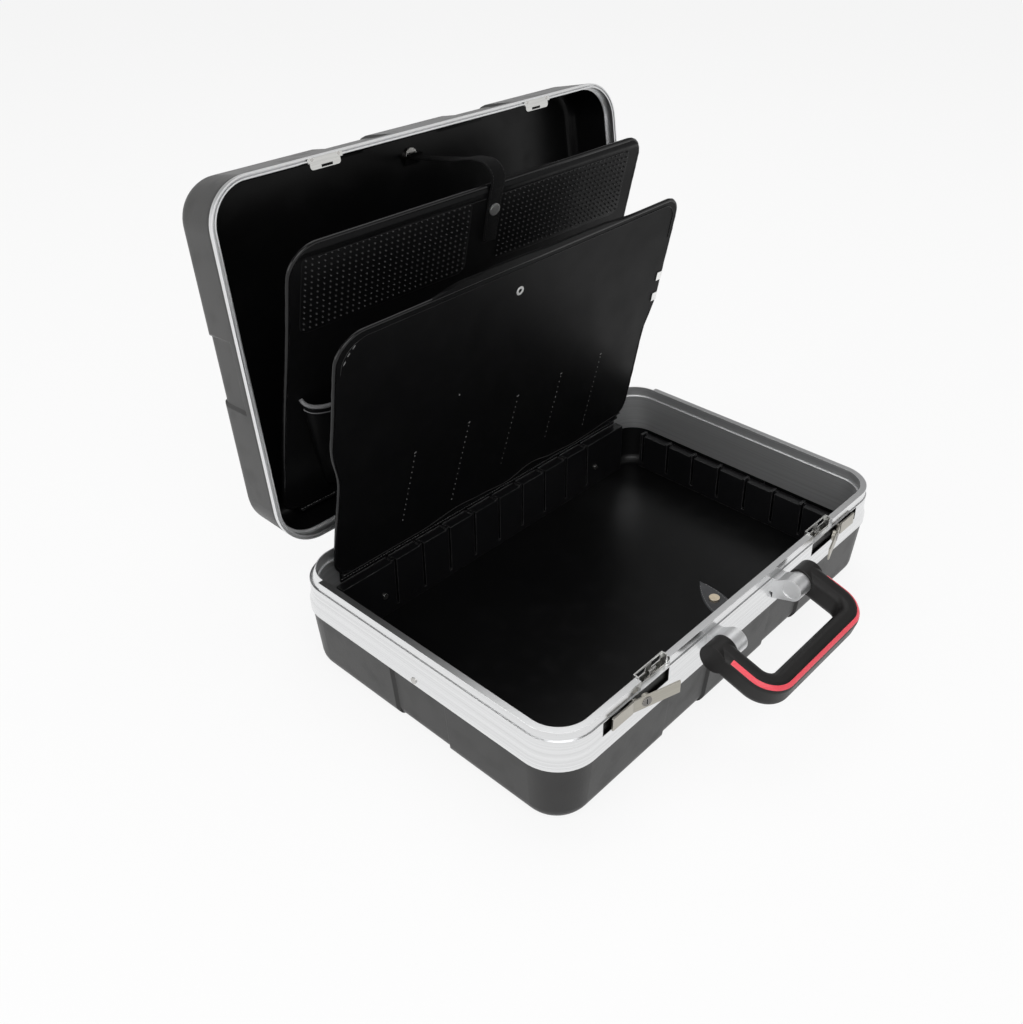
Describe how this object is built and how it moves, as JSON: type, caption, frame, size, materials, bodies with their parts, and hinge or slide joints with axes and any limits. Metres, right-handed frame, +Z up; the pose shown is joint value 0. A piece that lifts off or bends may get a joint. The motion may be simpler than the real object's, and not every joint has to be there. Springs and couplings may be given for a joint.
{
  "type": "hard tool case",
  "caption": "Hard two-shell tool case with aluminium frames, open hinged lid, carrying handle, lever latches, slotted dividers and two tool boards.",
  "frame": {"origin": "middle of the underside of the base", "axes": "+Z up, +X along the lid hinge, -Y towards the handle"},
  "size_m": [0.5012, 0.5149, 0.4466],
  "materials": {
    "abs_shell": "satin",
    "alu_frame": "satin",
    "nickel": "satin",
    "liner": "satin",
    "board": "matte",
    "trim": "matte",
    "grip_rubber": "matte",
    "stripe": "satin"
  },
  "bodies": {
    "base": {"base_shell": "abs_shell", "base_frame": "alu_frame", "divider_rear": "liner", "divider_front": "liner", "divider_left": "liner", "divider_right": "liner", "divider_screws": "nickel", "frame_rivets": "nickel", "handle_bracket_left": "alu_frame", "handle_bracket_right": "alu_frame", "handle_pins": "nickel", "latch_pan_left": "nickel", "latch_pan_right": "nickel", "hook_guide_left": "nickel", "hook_guide_right": "nickel", "lever_pins": "nickel", "hinge_leaf_base_left": "alu_frame", "hinge_leaf_base_right": "alu_frame", "hinge_pins": "nickel", "board_hinge_strip": "trim", "closure_tab": "trim", "closure_stud": "nickel"},
    "handle": {"handle_grip": "grip_rubber", "handle_stripe": "stripe"},
    "lever_left": {"latch_lever_left": "nickel"},
    "lever_right": {"latch_lever_right": "nickel"},
    "lock_left": {"lock_cylinder_left": "nickel"},
    "lock_right": {"lock_cylinder_right": "nickel"},
    "bolt_left": {"latch_bolt_left": "nickel"},
    "bolt_right": {"latch_bolt_right": "nickel"},
    "lid": {"lid_shell": "abs_shell", "lid_frame": "alu_frame", "hinge_leaf_lid_left": "alu_frame", "hinge_leaf_lid_right": "alu_frame", "lid_catch_left": "nickel", "lid_catch_right": "nickel", "catch_rivets": "nickel", "lid_board_hinge": "trim", "strap_anchor": "nickel"},
    "front_board": {"board_front": "board", "board_front_piping": "trim", "board_front_pockets": "trim", "board_front_eyelet": "nickel", "board_front_fittings": "nickel"},
    "lid_board": {"board_lid": "board", "board_lid_piping": "trim", "grid_left": "trim", "grid_right": "trim", "tool_pocket": "trim", "pocket_loop": "trim", "strap": "trim", "strap_stud": "nickel"}
  },
  "joints": [
    {"name": "lid_hinge", "type": "hinge", "parent": "base", "child": "lid", "pos_m": [0, 0.175, 0.1068], "axis": [1, 0, 0], "range_deg": [0, 98.3]},
    {"name": "front_board_fold", "type": "hinge", "parent": "base", "child": "front_board", "pos_m": [0, 0.15, 0.073], "axis": [1, 0, 0], "range_deg": [0, 79]},
    {"name": "lid_board_fold", "type": "hinge", "parent": "lid", "child": "lid_board", "pos_m": [0, 0.2082, 0.1252], "axis": [1, 0, 0], "range_deg": [-20.1, 0]},
    {"name": "handle_pivot", "type": "hinge", "parent": "base", "child": "handle", "pos_m": [0, -0.182, 0.0895], "axis": [-1, 0, 0], "range_deg": [0, 104]},
    {"name": "lever_left_pivot", "type": "hinge", "parent": "base", "child": "lever_left", "pos_m": [-0.162, -0.1632, 0.0861], "axis": [0, 0, -1], "range_deg": [-17, 8]},
    {"name": "lever_right_pivot", "type": "hinge", "parent": "base", "child": "lever_right", "pos_m": [0.162, -0.1632, 0.0861], "axis": [0, 0, 1], "range_deg": [-17, 8]},
    {"name": "lock_left_turn", "type": "hinge", "parent": "lever_left", "child": "lock_left", "pos_m": [-0.15146, -0.16977, 0.0861], "axis": [0.2924, 0.9563, 0], "range_deg": [0, 90]},
    {"name": "lock_right_turn", "type": "hinge", "parent": "lever_right", "child": "lock_right", "pos_m": [0.15146, -0.16977, 0.0861], "axis": [-0.2924, 0.9563, 0], "range_deg": [0, 90]},
    {"name": "bolt_left_slide", "type": "slide", "parent": "base", "child": "bolt_left", "axis": [-1, 0, 0], "range_m": [-0.005, 0.0024]},
    {"name": "bolt_right_slide", "type": "slide", "parent": "base", "child": "bolt_right", "axis": [1, 0, 0], "range_m": [-0.005, 0.0024]}
  ],
  "couplings": [
    {"joint": "front_board_fold", "follows": "lid_hinge", "ratio": 0.8036},
    {"joint": "lid_board_fold", "follows": "lid_hinge", "ratio": -0.2044},
    {"joint": "bolt_left_slide", "follows": "lever_left_pivot", "m_per_rad": 0.01685},
    {"joint": "bolt_right_slide", "follows": "lever_right_pivot", "m_per_rad": 0.01685}
  ]
}
